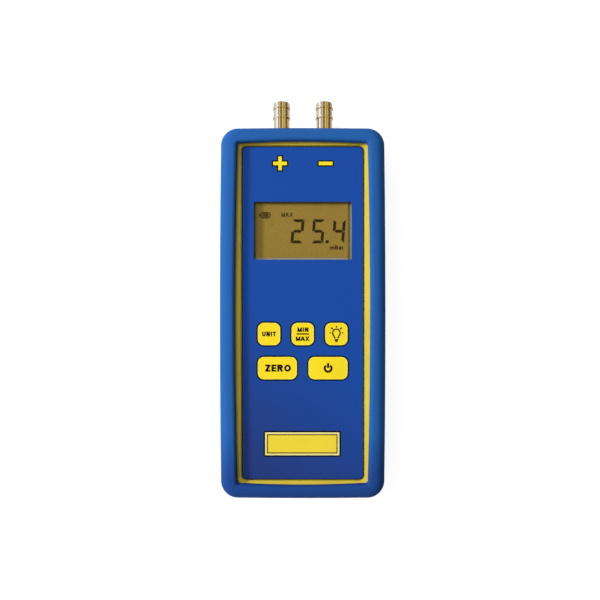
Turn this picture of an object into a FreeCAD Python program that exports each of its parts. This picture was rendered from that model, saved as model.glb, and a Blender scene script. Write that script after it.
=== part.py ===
import FreeCAD, Part
import math
import os
import re

import Sketcher
from FreeCAD import Vector

# Handheld digital differential pressure meter in a rubber boot.
# It lies on its back: +Z comes out of the front face, +Y points to the hose ports and +X to the
# right of the display. The origin is the middle of the meter's whole length, ports and all, on the
# surface it lies on. Each piece is drawn about the middle of the boot and then placed.
# Lengths are in millimetres.

os.makedirs("parts", exist_ok=True)
doc = FreeCAD.newDocument("PressureMeter")
sheet = doc.addObject("Spreadsheet::Sheet", "Sizes")

# Driving dimensions
SIZES = {
    # case halves; the width follows from the battery and the screws beside it
    "case_height": 160.4,
    "case_depth": 29.8,
    "case_corner": 5.0,
    "case_wall": 2.6,
    "front_half_depth": 9.2,
    "back_plate": 2.4,
    "back_edge_round": 1.5,
    # boot
    "boot_gap": 0.1,
    "boot_wall": 2.8,
    "front_lip": 2.8,
    "rear_lip": 2.4,
    "side_bow": 0.6,
    "end_bow": 0.3,
    "boot_corner": 7.8,
    "boot_front_round": 4.75,
    "boot_back_round": 3.0,
    "lip_round": 1.6,
    "lip_cover_side": 4.2,
    "lip_cover_end": 3.6,
    "opening_side_bow": 1.1,
    "opening_end_bow": 0.85,
    "opening_corner": 1.2,
    "rear_cover_side": 7.35,
    "rear_cover_end": 14.2,
    "rear_window_corner": 6.0,
    "rear_window_round": 1.0,
    "grip_length": 74.8,
    "grip_shift": -0.9,
    "grip_height": 20.0,
    "grip_proud": 0.25,
    "grip_groove_width": 1.6,
    "grip_groove_depth": 0.55,
    "grip_groove_pitch": 4.4,
    "grip_groove_count": 4,
    # keypad film and the recess it lies in
    "panel_margin_side": 6.85,
    "panel_margin_end": 5.15,
    "panel_corner": 2.2,
    "panel_gap": 0.15,
    "rim_gap": 0.35,
    "film": 0.4,
    "print_layer": 0.08,
    "rim_slope_width": 3.2,
    "rim_slope_drop": 1.3,
    "rim_step": 0.4,
    "panel_floor": 2.0,
    # keys, placed down from the display
    "key_size": 10.05,
    "wide_key": 17.5,
    "key_corner": 2.7,
    "key_pitch": 15.15,
    "wide_key_pitch": 22.7,
    "keys_below_display": 46.5,
    "key_row_pitch": 15.35,
    # signs over the ports and the maker's field
    "sign_inset": 7.75,
    "plus_place": -10.2,
    "minus_place": 10.35,
    "sign_length": 6.2,
    "sign_stroke": 1.6,
    "field_width": 33.4,
    "field_height": 10.3,
    "field_shift": -0.2,
    "field_inset": 16.2,
    "field_line_inset": 0.8,
    "field_line": 0.5,
    # display
    "window_width": 44.1,
    "window_height": 26.0,
    "window_corner": 0.6,
    "window_inset": 38.0,
    "window_ledge": 0.3,
    "lens_border": 1.5,
    "lens": 1.0,
    "glass_gap": 0.5,
    "lcd_border_side": 3.15,
    "lcd_border_end": 2.8,
    "lcd": 2.8,
    "lcd_frame_wall": 1.8,
    "lcd_frame_gap": 0.1,
    "strip_end": 3.0,
    "strip_width": 1.8,
    "strip_inset": 1.5,
    "backlight_inset": 0.7,
    "backlight": 2.0,
    "digit_height": 10.9,
    "digit_width": 5.5,
    "digit_stroke": 1.3,
    "digit_slant": 0.084,
    "digit_split": 0.14,
    "digit_lift": 0.05,
    "digit_pitch": 9.4,
    "middle_digit": 7.0,
    "point_shift": 4.1,
    "point_side": 1.4,
    "polariser": 0.2,
    "polariser_extra": 0.5,
    "polariser_shift": -1.8,
    "polariser_lift": 1.35,
    "lcd_ink": 0.06,
    # keypad circuit
    "circuit_margin": 3.5,
    "circuit_height": 31.0,
    "circuit": 0.25,
    "circuit_spacer": 0.35,
    "dome_radius": 4.0,
    "dome_bevel": 0.28,
    "dome_hole_gap": 0.3,
    "tail_width": 9.0,
    "tail": 0.25,
    "tail_slot": 2.0,
    # circuit board
    "board_side_gap": 1.25,
    "board_end_room": 16.6,
    "board_bay_gap": 0.85,
    "board": 1.6,
    "board_gap": 5.5,
    "board_corner": 2.0,
    "post_radius": 2.6,
    "post_side_inset": 7.0,
    "post_end_inset": 3.2,
    "board_screw_radius": 1.1,
    "board_screw_head": 2.0,
    "board_screw_head_depth": 1.4,
    "board_screw_reach": 4.5,
    "screw_gap": 0.05,
    "screw_slot": 0.7,
    "case_screw_radius": 1.45,
    "case_screw_head": 2.7,
    "case_screw_head_depth": 2.0,
    "case_screw_sink": 2.4,
    "case_screw_side_inset": 4.95,
    "case_screw_end_inset": 5.6,
    "case_screw_bite": 4.2,
    "boss_radius": 3.2,
    "boss_gap": 0.15,
    # ports
    "port_spacing": 20.2,
    "port_drop": 4.3,
    "port_reach": 16.0,
    "barb_count": 2,
    "barb_radius": 4.2,
    "barb_valley": 3.7,
    "barb_shoulder": 3.95,
    "barb_bevel": 0.7,
    "barb_land": 0.5,
    "barb_pitch": 4.65,
    "barb_lead": 2.5,
    "barb_tip_radius": 3.8,
    "barb_tip_bevel": 0.35,
    "airway_radius": 2.0,
    "collar_flats": 11.0,
    "collar": 2.0,
    "collar_hole_gap": 0.6,
    "shank_radius": 3.6,
    "shank_gap": 0.1,
    "seal": 0.8,
    "seal_radius": 5.3,
    "nut_flats": 10.0,
    "nut": 3.0,
    "shank_reach": 5.4,
    "spigot_radius": 2.7,
    "spigot_reach": 6.0,
    # pressure sensor and its hoses
    "sensor_width": 29.0,
    "sensor_height": 16.0,
    "sensor_depth": 8.6,
    "sensor_cell_radius": 6.0,
    "sensor_cell": 1.6,
    "nozzle_reach": 6.0,
    "nozzle_radius": 2.7,
    "nozzle_bore": 1.5,
    "hose_wall": 0.9,
    "hose_gap": 0.05,
    "hose_run": 12.0,
    # parts on the board
    "chip_size": 12.0,
    "chip": 1.5,
    "chip_leg": 0.9,
    "chip_leg_width": 0.5,
    "chip_leg_pitch": 1.25,
    "chip_leg_depth": 0.5,
    "chip_leg_count": 7,
    "chip_inset": 57.0,
    "amplifier_width": 4.0,
    "amplifier_length": 8.6,
    "amplifier_leg_pitch": 2.0,
    "amplifier_leg_count": 4,
    "amplifier_inset": 41.0,
    "crystal_length": 11.0,
    "crystal_width": 4.2,
    "crystal_round": 2.0,
    "crystal": 3.4,
    "crystal_inset": 75.0,
    "passive_length": 2.0,
    "passive_width": 1.25,
    "passive_depth": 0.7,
    "passive_pitch": 4.0,
    "passive_count": 5,
    "tail_socket_width": 12.0,
    "tail_socket_height": 3.4,
    "tail_socket": 2.2,
    # battery and its bay
    "battery_length": 45.9,
    "battery_width": 26.3,
    "battery_depth": 17.3,
    "battery_corner": 1.8,
    "battery_gap": 0.15,
    "terminal_reach": 2.6,
    "terminal_spacing": 12.7,
    "small_terminal": 2.9,
    "large_terminal": 4.2,
    "foam": 0.9,
    "door": 1.8,
    "door_gap": 0.2,
    "door_ledge": 1.4,
    "door_corner": 1.5,
    "thumb_groove_width": 24.0,
    "thumb_groove": 1.2,
    "thumb_groove_depth": 0.5,
    "thumb_groove_pitch": 2.6,
    "thumb_groove_count": 4,
    "bay_wall": 1.6,
    "bay_gap": 0.3,
    "contact": 0.4,
    "contact_width": 8.0,
    "contact_holder": 1.4,
    "lead_radius": 0.65,
    "lead_bend": 1.4,
    "low_lead_drop": 3.9,
    "high_lead_drop": 1.9,
    "low_lead_landing": 4.5,
    "high_lead_landing": 1.5,
    "lead_tail": 2.0,
    # seal between the halves
    "gasket_width": 1.0,
    "gasket_depth": 0.9,
}

# Sizes that follow from the driving ones
DERIVED = {
    "case_width": "2*(case_screw_column + case_screw_side_inset)",
    "case_end": "case_height/2",
    "case_back": "rear_lip",
    "case_front": "rear_lip + case_depth",
    "parting": "case_front - front_half_depth",
    "boot_depth": "rear_lip + case_depth + front_lip",
    "boot_width": "case_width + 2*boot_gap + 2*boot_wall",
    "boot_height": "case_height + 2*boot_gap + 2*boot_wall",
    "opening_width": "case_width - 2*lip_cover_side",
    "opening_height": "case_height - 2*lip_cover_end",
    "rear_window_width": "case_width - 2*rear_cover_side",
    "rear_window_height": "case_height - 2*rear_cover_end",
    "panel_width": "case_width - 2*panel_margin_side",
    "panel_height": "case_height - 2*panel_margin_end",
    "sign_row": "panel_height/2 - sign_inset",
    "field_row": "field_inset - panel_height/2",
    "film_seat": "case_front - rim_slope_drop - rim_step - film",
    "film_top": "film_seat + film",
    "floor_under": "film_seat - panel_floor",
    "print_top": "film_top + print_layer",
    "window_row": "panel_height/2 - window_inset",
    "lcd_width": "window_width + 2*lcd_border_side",
    "lcd_height": "window_height + 2*lcd_border_end",
    "strip_length": "lcd_width - 2*strip_end",
    "backlight_width": "window_width - 2*backlight_inset",
    "backlight_height": "window_height - 2*backlight_inset",
    "digit_row": "window_row + digit_lift",
    "lcd_top": "floor_under - glass_gap",
    "lcd_under": "lcd_top - lcd",
    "board_face": "floor_under - board_gap",
    "board_under": "board_face - board",
    "board_width": "case_width - 2*case_wall - 2*board_side_gap",
    "board_top": "case_end - case_wall - board_end_room",
    "board_bottom": "bay_top + bay_wall + board_bay_gap",
    "board_middle": "(board_top + board_bottom)/2",
    "post_column": "board_width/2 - post_side_inset",
    "post_row": "(board_top - board_bottom)/2 - post_end_inset",
    "case_screw_column": "holder_back + boss_gap + boss_radius",
    "case_screw_row": "case_end - case_screw_end_inset",
    "chip_row": "board_top - chip_inset",
    "amplifier_row": "board_top - amplifier_inset",
    "crystal_row": "board_top - crystal_inset",
    "small_key_row": "window_row - keys_below_display",
    "wide_key_row": "small_key_row - key_row_pitch",
    "circuit_width": "panel_width - 2*circuit_margin",
    "keypad_row": "(small_key_row + wide_key_row)/2",
    "circuit_under": "film_seat - circuit - circuit_spacer",
    "tail_row": "keypad_row + circuit_height/2 - tail_slot/2",
    "port_x": "port_spacing/2",
    "port_z": "board_under - port_drop",
    "collar_end": "case_end + seal + collar",
    "port_tip": "case_end + boot_gap + boot_wall + port_reach",
    "shank_end": "case_end - case_wall - shank_reach",
    "spigot_end": "shank_end - spigot_reach",
    "hose_top": "shank_end - hose_gap",
    "hose_foot": "hose_top - hose_run",
    "sensor_top": "hose_foot - hose_gap",
    "middle_shift": "(boot_height/2 - port_tip)/2",
    "bay_floor": "case_back + back_plate",
    "battery_under": "case_back + door + foam",
    "battery_middle": "battery_under + battery_depth/2",
    "door_width": "battery_length + terminal_reach + 2*battery_gap + 2*door_ledge",
    "door_height": "battery_width + 2*battery_gap + 2*door_ledge",
    "battery_row": "case_wall - case_end + door_height/2",
    "door_top": "battery_row + door_height/2",
    "battery_shift": "-terminal_reach/2",
    "battery_end": "battery_shift + battery_length/2",
    "contact_face": "battery_end + terminal_reach",
    "holder_face": "contact_face + contact",
    "holder_back": "holder_face + contact_holder",
    "bay_top": "battery_row + battery_width/2 + bay_gap",
}


def formula(text):
    """A size formula with each name written the way the sheet reads it."""
    def written(match):
        word = match.group(0)
        if word in DERIVED:
            return "(" + formula(DERIVED[word]) + ")"
        return "Sizes." + word if word in SIZES else word
    return re.sub(r"[a-z][a-z0-9_]*", written, str(text))


def size(text):
    """The value of a size formula, from the sheet."""
    return float(sheet.evalExpression(formula(text)))


def fill_sheet():
    for line, (name, value) in enumerate(SIZES.items(), start=1):
        sheet.set(f"A{line}", name)
        sheet.set(f"B{line}", str(value))
        sheet.setAlias(f"B{line}", name)
    doc.recompute()


class Drawing:
    """A sketch on one of a body's base planes, each of its sizes bound to the sheet."""

    def __init__(self, body, plane="XY", height="0"):
        self.sketch = body.newObject("Sketcher::SketchObject", body.Label + "_sketch")
        base = [item for item in body.Origin.OriginFeatures if item.Role == plane + "_Plane"][0]
        self.sketch.AttachmentSupport = [(base, "")]
        self.sketch.MapMode = "FlatFace"
        self.sketch.setExpression("AttachmentOffset.Base.z", formula(height))

    def bind(self, kind, references, text):
        index = self.sketch.addConstraint(Sketcher.Constraint(kind, *references, size(text)))
        self.sketch.setExpression(f"Constraints[{index}]", formula(text))

    def pin(self, item, point, x, y):
        """Hold a point of the sketch at a place."""
        self.bind("DistanceX", (-1, 1, item, point), x)
        self.bind("DistanceY", (-1, 1, item, point), y)

    def circle(self, x, y, radius):
        centre = Vector(size(x), size(y), 0)
        item = self.sketch.addGeometry(Part.Circle(centre, Vector(0, 0, 1), size(radius)))
        self.pin(item, 3, x, y)
        self.bind("Radius", (item,), radius)
        return self

    def outline(self, corners):
        """A closed outline of straight lines through corners given as pairs of formulas."""
        places = [Vector(size(x), size(y), 0) for x, y in corners]
        lines = []
        for index, place in enumerate(places):
            lines.append(self.sketch.addGeometry(Part.LineSegment(place, places[(index + 1) % len(places)])))
        for index, line in enumerate(lines):
            following = lines[(index + 1) % len(lines)]
            self.sketch.addConstraint(Sketcher.Constraint("Coincident", line, 2, following, 1))
            self.pin(line, 1, *corners[index])
        return self

    def box(self, x, y, width, height):
        left, right = f"{x} - ({width})/2", f"{x} + ({width})/2"
        low, high = f"{y} - ({height})/2", f"{y} + ({height})/2"
        return self.outline([(left, low), (right, low), (right, high), (left, high)])

    def rounded_box(self, x, y, width, height, corner):
        """A box with round corners: four lines and four arcs, tangent where they meet."""
        left, right = size(f"{x} - ({width})/2"), size(f"{x} + ({width})/2")
        low, high = size(f"{y} - ({height})/2"), size(f"{y} + ({height})/2")
        r = size(corner)
        ends = [((left + r, low), (right - r, low)), ((right, low + r), (right, high - r)),
                ((right - r, high), (left + r, high)), ((left, high - r), (left, low + r))]
        centres = [(right - r, low + r), (right - r, high - r), (left + r, high - r), (left + r, low + r)]
        sketch = self.sketch
        lines = [sketch.addGeometry(Part.LineSegment(Vector(*a, 0), Vector(*b, 0))) for a, b in ends]
        arcs = []
        for quarter, centre in enumerate(centres):
            start = (quarter - 1) * math.pi / 2
            round_corner = Part.Circle(Vector(*centre, 0), Vector(0, 0, 1), r)
            arcs.append(sketch.addGeometry(Part.ArcOfCircle(round_corner, start, start + math.pi / 2)))
        for side in range(4):
            following = lines[(side + 1) % 4]
            sketch.addConstraint(Sketcher.Constraint("Tangent", lines[side], 2, arcs[side], 1))
            sketch.addConstraint(Sketcher.Constraint("Tangent", arcs[side], 2, following, 1))
            flow = "Vertical" if side % 2 else "Horizontal"
            sketch.addConstraint(Sketcher.Constraint(flow, lines[side]))
        for arc in arcs[1:]:
            sketch.addConstraint(Sketcher.Constraint("Equal", arcs[0], arc))
        self.bind("Radius", (arcs[0],), corner)
        self.bind("DistanceY", (-1, 1, lines[0], 1), f"{y} - ({height})/2")
        self.bind("DistanceX", (-1, 1, lines[1], 1), f"{x} + ({width})/2")
        self.bind("DistanceY", (-1, 1, lines[2], 1), f"{y} + ({height})/2")
        self.bind("DistanceX", (-1, 1, lines[3], 1), f"{x} - ({width})/2")
        return self

    def bowed_box(self, width, height, side_bow, end_bow):
        """A box whose four sides are shallow arcs, widest at the middle of each side."""
        half_width, half_height = f"(({width})/2 - {side_bow})", f"(({height})/2 - {end_bow})"
        signs = [(-1, -1), (1, -1), (1, 1), (-1, 1)]
        middles = [(0, -1), (1, 0), (0, 1), (-1, 0)]
        sketch = self.sketch
        arcs = []
        for side, middle in enumerate(middles):
            a, b = signs[side], signs[(side + 1) % 4]
            start = Vector(a[0] * size(half_width), a[1] * size(half_height), 0)
            crown = Vector(middle[0] * size(width) / 2, middle[1] * size(height) / 2, 0)
            end = Vector(b[0] * size(half_width), b[1] * size(half_height), 0)
            arcs.append(sketch.addGeometry(Part.Arc(start, crown, end)))
        for side, arc in enumerate(arcs):
            following = arcs[(side + 1) % 4]
            sketch.addConstraint(Sketcher.Constraint("Coincident", arc, 2, following, 1))
            self.pin(arc, 1, f"{signs[side][0]}*{half_width}", f"{signs[side][1]}*{half_height}")
            half, bow = (half_height, side_bow) if side % 2 else (half_width, end_bow)
            self.bind("Radius", (arc,), f"{half}*{half}/(2*{bow}) + {bow}/2")
        return self


def new_body(name):
    body = doc.addObject("PartDesign::Body", name)
    body.Label = name
    body.setExpression("Placement.Base.y", formula("middle_shift"))
    return body


def pad(body, drawing, length, backward=False):
    feature = body.newObject("PartDesign::Pad", body.Label + "_pad")
    feature.Profile = drawing.sketch
    feature.setExpression("Length", formula(length))
    feature.Reversed = backward
    return feature


def pocket(body, drawing, depth, forward=False):
    """A pocket cuts against its plane's normal, or along it if it goes forward."""
    feature = body.newObject("PartDesign::Pocket", body.Label + "_pocket")
    feature.Profile = drawing.sketch
    feature.setExpression("Length", formula(depth))
    feature.Reversed = forward
    return feature


def dress(body, kind, length_name, radius, wanted):
    """Round or bevel the edges of the body's last feature that the test picks."""
    doc.recompute()
    base = body.Tip
    names = [f"Edge{number}" for number, edge in enumerate(base.Shape.Edges, start=1) if wanted(edge)]
    feature = body.newObject("PartDesign::" + kind, body.Label + "_" + kind.lower())
    feature.Base = (base, names)
    feature.setExpression(length_name, formula(radius))
    return feature


def fillet(body, radius, wanted):
    return dress(body, "Fillet", "Radius", radius, wanted)


def chamfer(body, bevel, wanted):
    return dress(body, "Chamfer", "Size", bevel, wanted)


def upright(edge):
    """Whether an edge is a straight one along Z."""
    return isinstance(edge.Curve, Part.Line) and abs(edge.Curve.Direction.z) > 0.999


def level(edge, height):
    """Whether an edge lies flat at a height."""
    return max(abs(point.Z - size(height)) for point in edge.Vertexes) < 1e-4 and not upright(edge)


def above(edge, height):
    """Whether an edge starts at a height or over it."""
    return edge.BoundBox.ZMin > size(height) - 1e-4


def inside(edge, half_width, half_height):
    """Whether an edge lies within a box about the Z axis."""
    bounds = edge.BoundBox
    across = max(abs(bounds.XMin), abs(bounds.XMax)) < size(half_width)
    along = max(abs(bounds.YMin), abs(bounds.YMax)) < size(half_height)
    return across and along


def corner_places(column, row, middle="0"):
    """The four corners of a grid about the middle of the case."""
    return [(f"{x}*({column})", f"{middle} + {y}*({row})") for x in (-1, 1) for y in (-1, 1)]


fill_sheet()


# Rubber boot
def make_boot():
    body = new_body("protective_boot")
    pad(body, Drawing(body).bowed_box("boot_width", "boot_height", "side_bow", "end_bow"), "boot_depth")
    fillet(body, "boot_corner", upright)
    fillet(body, "boot_front_round", lambda edge: level(edge, "boot_depth"))
    fillet(body, "boot_back_round", lambda edge: level(edge, "0"))

    # A plateau on each side for the hand, with grooves that run along it
    grip_low = "boot_depth/2 - grip_height/2"
    plateau = Drawing(body, height=grip_low)
    for side in (-1, 1):
        column = f"{side}*(boot_width/2 + grip_proud - boot_wall/2)"
        plateau.box(column, "grip_shift", "boot_wall", "grip_length")
    pad(body, plateau, "grip_height")
    for number in range(int(size("grip_groove_count"))):
        lift = f"({number} - (grip_groove_count - 1)/2)*grip_groove_pitch"
        grooves = Drawing(body, height=f"boot_depth/2 + {lift} - grip_groove_width/2")
        for side in (-1, 1):
            grooves.box(f"{side}*(boot_width/2 + grip_proud)", "grip_shift",
                        "2*grip_groove_depth", "grip_length - 4*grip_groove_width")
        pocket(body, grooves, "grip_groove_width", forward=True)

    # The room for the case, and the openings at the front and the back
    room = Drawing(body, height="case_front")
    room.rounded_box("0", "0", "case_width + 2*boot_gap", "case_height + 2*boot_gap",
                     "case_corner + boot_gap")
    pocket(body, room, "case_depth")
    front = Drawing(body, height="boot_depth")
    front.bowed_box("opening_width", "opening_height", "opening_side_bow", "opening_end_bow")
    pocket(body, front, "front_lip")
    around = "opening_width/2 + 1", "opening_height/2 + 1"
    fillet(body, "opening_corner",
           lambda edge: upright(edge) and above(edge, "case_front") and inside(edge, *around))
    fillet(body, "lip_round", lambda edge: level(edge, "boot_depth") and inside(edge, *around))
    rear = Drawing(body)
    rear.rounded_box("0", "0", "rear_window_width", "rear_window_height", "rear_window_corner")
    pocket(body, rear, "rear_lip", forward=True)
    around = "rear_window_width/2 + 1", "rear_window_height/2 + 1"
    fillet(body, "rear_window_round", lambda edge: level(edge, "0") and inside(edge, *around))

    # Holes in the top wall for the ports
    holes = Drawing(body, plane="XZ", height="-(case_end - case_wall)")
    for side in (-1, 1):
        holes.circle(f"{side}*port_x", "port_z", "collar_flats/sqrt(3) + collar_hole_gap")
    pocket(body, holes, "case_wall + boot_gap + 2*boot_wall", forward=False)
    return body


# Front half of the case
def make_front_case():
    body = new_body("front_case")
    shell = Drawing(body, height="parting").rounded_box("0", "0", "case_width", "case_height", "case_corner")
    pad(body, shell, "front_half_depth")
    hollow = Drawing(body, height="parting")
    hollow.rounded_box("0", "0", "case_width - 2*case_wall", "case_height - 2*case_wall",
                       "case_corner - case_wall")
    pocket(body, hollow, "floor_under - parting", forward=True)
    recess = Drawing(body, height="case_front")
    recess.rounded_box("0", "0", "panel_width + 2*rim_gap", "panel_height + 2*rim_gap",
                       "panel_corner + rim_gap")
    pocket(body, recess, "case_front - film_seat")
    low = Drawing(body, height="case_front - rim_slope_drop")
    low.rounded_box("0", "0", "panel_width + 2*rim_gap", "panel_height + 2*rim_gap",
                    "panel_corner + rim_gap")
    high = Drawing(body, height="case_front")
    high.rounded_box("0", "0", "panel_width + 2*(rim_gap + rim_slope_width)",
                     "panel_height + 2*(rim_gap + rim_slope_width)",
                     "panel_corner + rim_gap + rim_slope_width")
    slope = body.newObject("PartDesign::SubtractiveLoft", "front_case_slope")
    slope.Profile = low.sketch
    slope.Sections = [high.sketch]
    slope.Ruled = True

    # The window, and the ledge that its lens is glued to from below
    window = Drawing(body, height="film_seat")
    window.rounded_box("0", "window_row", "window_width + 2*window_ledge", "window_height + 2*window_ledge",
                       "window_corner + window_ledge")
    pocket(body, window, "panel_floor")
    lens_seat = Drawing(body, height="floor_under")
    lens_seat.box("0", "window_row", "window_width + 2*lens_border + 2*panel_gap",
                  "window_height + 2*lens_border + 2*panel_gap")
    pocket(body, lens_seat, "lens", forward=True)

    # The bed of the keypad circuit, and the slot for its tail
    bed = Drawing(body, height="film_seat")
    bed.box("0", "keypad_row", "circuit_width + 2*panel_gap", "circuit_height + 2*panel_gap")
    pocket(body, bed, "film_seat - circuit_under")
    slot = Drawing(body, height="film_seat")
    slot.box("0", "tail_row", "tail_width + 2*panel_gap", "tail_slot + 2*panel_gap")
    pocket(body, slot, "panel_floor")

    # Bosses for the case screws and posts for the board
    bosses = Drawing(body, height="parting")
    for x, y in corner_places("case_screw_column", "case_screw_row"):
        bosses.circle(x, y, "boss_radius")
    pad(body, bosses, "floor_under - parting")
    bores = Drawing(body, height="parting")
    for x, y in corner_places("case_screw_column", "case_screw_row"):
        bores.circle(x, y, "case_screw_radius + screw_gap")
    pocket(body, bores, "case_screw_bite + screw_gap", forward=True)
    posts = Drawing(body, height="board_face")
    for x, y in corner_places("post_column", "post_row", "board_middle"):
        posts.circle(x, y, "post_radius")
    pad(body, posts, "board_gap")
    pilots = Drawing(body, height="board_face")
    for x, y in corner_places("post_column", "post_row", "board_middle"):
        pilots.circle(x, y, "board_screw_radius + screw_gap")
    pocket(body, pilots, "board_screw_reach", forward=True)
    return body


# Rear half of the case
def make_rear_case():
    body = new_body("rear_case")
    shell = Drawing(body, height="case_back")
    shell.rounded_box("0", "0", "case_width", "case_height", "case_corner")
    pad(body, shell, "parting - case_back")
    fillet(body, "back_edge_round", lambda edge: level(edge, "case_back"))
    hollow = Drawing(body, height="parting")
    hollow.rounded_box("0", "0", "case_width - 2*case_wall", "case_height - 2*case_wall",
                       "case_corner - case_wall")
    pocket(body, hollow, "parting - bay_floor")

    # The wall between the battery and the board, and the bosses for the case screws
    wall = Drawing(body, height="case_back + back_plate/2")
    wall.box("0", "bay_top + bay_wall/2", "case_width - case_wall", "bay_wall")
    pad(body, wall, "board_under - low_lead_drop - 2*lead_radius - case_back - back_plate/2")
    bosses = Drawing(body, height="case_back + back_plate/2")
    for x, y in corner_places("case_screw_column", "case_screw_row"):
        bosses.circle(x, y, "boss_radius")
    pad(body, bosses, "parting - case_back - back_plate/2")
    bores = Drawing(body, height="case_back")
    for x, y in corner_places("case_screw_column", "case_screw_row"):
        bores.circle(x, y, "case_screw_radius + screw_gap")
    pocket(body, bores, "parting - case_back", forward=True)
    sinks = Drawing(body, height="case_back")
    for x, y in corner_places("case_screw_column", "case_screw_row"):
        sinks.circle(x, y, "case_screw_head + screw_gap")
    pocket(body, sinks, "case_screw_sink", forward=True)

    # The gasket's groove in the rim
    pocket(body, ring_sketch(Drawing(body, height="parting")), "gasket_depth")

    # The door's bed and the battery's opening behind it
    door_bed = Drawing(body, height="case_back")
    door_bed.rounded_box("0", "battery_row", "door_width + 2*door_gap", "door_height + 2*door_gap",
                         "door_corner + door_gap")
    pocket(body, door_bed, "door", forward=True)
    opening = Drawing(body, height="case_back")
    opening.box("0", "battery_row", "door_width - 2*door_ledge", "door_height - 2*door_ledge")
    pocket(body, opening, "back_plate", forward=True)

    # Holes in the top wall for the ports
    holes = Drawing(body, plane="XZ", height="-(case_end - 2*case_wall)")
    for side in (-1, 1):
        holes.circle(f"{side}*port_x", "port_z", "shank_radius + shank_gap")
    pocket(body, holes, "3*case_wall")
    return body


def ring_sketch(drawing):
    """The gasket's ring, in the middle of the case wall."""
    for side in (1, -1):
        inset = f"(case_wall - {side}*gasket_width)"
        drawing.rounded_box("0", "0", f"case_width - {inset}", f"case_height - {inset}",
                            f"case_corner - {inset}/2")
    return drawing


def make_gasket():
    body = new_body("case_gasket")
    pad(body, ring_sketch(Drawing(body, height="parting")), "gasket_depth", backward=True)
    return body


# Battery bay
def make_battery_door():
    body = new_body("battery_door")
    plate = Drawing(body, height="case_back")
    plate.rounded_box("0", "battery_row", "door_width", "door_height", "door_corner")
    pad(body, plate, "door")
    grooves = Drawing(body, height="case_back")
    for number in range(int(size("thumb_groove_count"))):
        row = f"door_top - thumb_groove_pitch*({number} + 2)"
        grooves.box("0", row, "thumb_groove_width", "thumb_groove")
    pocket(body, grooves, "thumb_groove_depth", forward=True)
    return body


def make_door_foam():
    body = new_body("door_foam")
    sheet_of_foam = Drawing(body, height="case_back + door")
    sheet_of_foam.box("battery_shift", "battery_row", "battery_length - 4*battery_corner",
                      "battery_width - 2*battery_corner")
    pad(body, sheet_of_foam, "foam")
    return body


def make_battery():
    body = new_body("battery")
    can = Drawing(body, plane="YZ", height="battery_shift - battery_length/2")
    can.rounded_box("battery_row", "battery_middle", "battery_width", "battery_depth", "battery_corner")
    pad(body, can, "battery_length")
    for side, radius in ((1, "small_terminal"), (-1, "large_terminal")):
        snap = Drawing(body, plane="YZ", height="battery_end")
        snap.circle(f"battery_row + {side}*terminal_spacing/2", "battery_middle", radius)
        pad(body, snap, "terminal_reach")
    return body


def make_battery_contacts():
    body = new_body("battery_contacts")
    leaves = Drawing(body, plane="YZ", height="contact_face")
    for side in (1, -1):
        row = f"battery_row + {side}*terminal_spacing/2"
        leaves.box(row, "battery_middle", "contact_width", "contact_width")
    pad(body, leaves, "contact")
    return body


def make_contact_holder():
    body = new_body("contact_holder")
    block = Drawing(body, plane="YZ", height="holder_face")
    low, high = "bay_floor", "battery_middle + contact_width/2"
    block.box("battery_row", f"({low} + {high})/2", "battery_width", f"{high} - {low}")
    pad(body, block, "contact_holder")
    return body


def make_lead(name, side, drop, landing):
    """A wire from behind a contact, up its holder's back and over the bay wall to the board."""
    body = new_body(name)
    row = f"battery_row + {side}*terminal_spacing/2"
    foot, run = "battery_middle - lead_tail", f"board_under - {drop}"
    path = Drawing(body, plane="YZ", height="holder_back + lead_radius")
    end = f"board_bottom + {landing}"
    bent_path(path, [(row, foot), (row, run), (end, run), (end, "board_under")], "lead_bend")
    profile = Drawing(body, height=foot)
    profile.circle("holder_back + lead_radius", row, "lead_radius")
    sweep(body, profile, path)
    return body


def bent_path(drawing, corners, bend):
    """A path of level and upright runs through corners, joined by tangent arcs."""
    places = [Vector(size(x), size(y), 0) for x, y in corners]
    r = size(bend)
    sketch = drawing.sketch
    flows = [(b - a).normalize() for a, b in zip(places, places[1:])]
    lines = []
    for index, flow in enumerate(flows):
        start = places[index] + flow * (r if index else 0)
        end = places[index + 1] - flow * (r if index < len(flows) - 1 else 0)
        lines.append(sketch.addGeometry(Part.LineSegment(start, end)))
        direction = "Horizontal" if abs(flow.x) > 0.5 else "Vertical"
        sketch.addConstraint(Sketcher.Constraint(direction, lines[-1]))
    for index in range(len(flows) - 1):
        before, after = flows[index], flows[index + 1]
        start, end = places[index + 1] - before * r, places[index + 1] + after * r
        centre = start + after * r
        middle = centre + (places[index + 1] - centre).normalize() * r
        arc = sketch.addGeometry(Part.Arc(start, middle, end))
        turns_left = before.x * after.y - before.y * after.x > 0
        first, second = (1, 2) if turns_left else (2, 1)
        sketch.addConstraint(Sketcher.Constraint("Tangent", lines[index], 2, arc, first))
        sketch.addConstraint(Sketcher.Constraint("Tangent", arc, second, lines[index + 1], 1))
        drawing.bind("Radius", (arc,), bend)
    drawing.pin(lines[0], 1, *corners[0])
    drawing.pin(lines[-1], 2, *corners[-1])
    return drawing


def sweep(body, profile, path):
    feature = body.newObject("PartDesign::AdditivePipe", body.Label + "_pipe")
    feature.Profile = profile.sketch
    feature.Spine = (path.sketch, [f"Edge{number}" for number in range(1, path.sketch.GeometryCount + 1)])
    return feature


# Keypad film and what is printed on it
def make_overlay():
    body = new_body("graphic_overlay")
    film = Drawing(body, height="film_seat")
    film.rounded_box("0", "0", "panel_width", "panel_height", "panel_corner")
    film.rounded_box("0", "window_row", "window_width", "window_height", "window_corner")
    pad(body, film, "film")
    return body


def key_places():
    """Each key's place and width: a row of three small keys over a row of two wide ones."""
    small = [(f"{number}*key_pitch", "small_key_row", "key_size") for number in (-1, 0, 1)]
    wide = [(f"{side}*wide_key_pitch/2", "wide_key_row", "wide_key") for side in (-1, 1)]
    return small + wide


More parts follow.
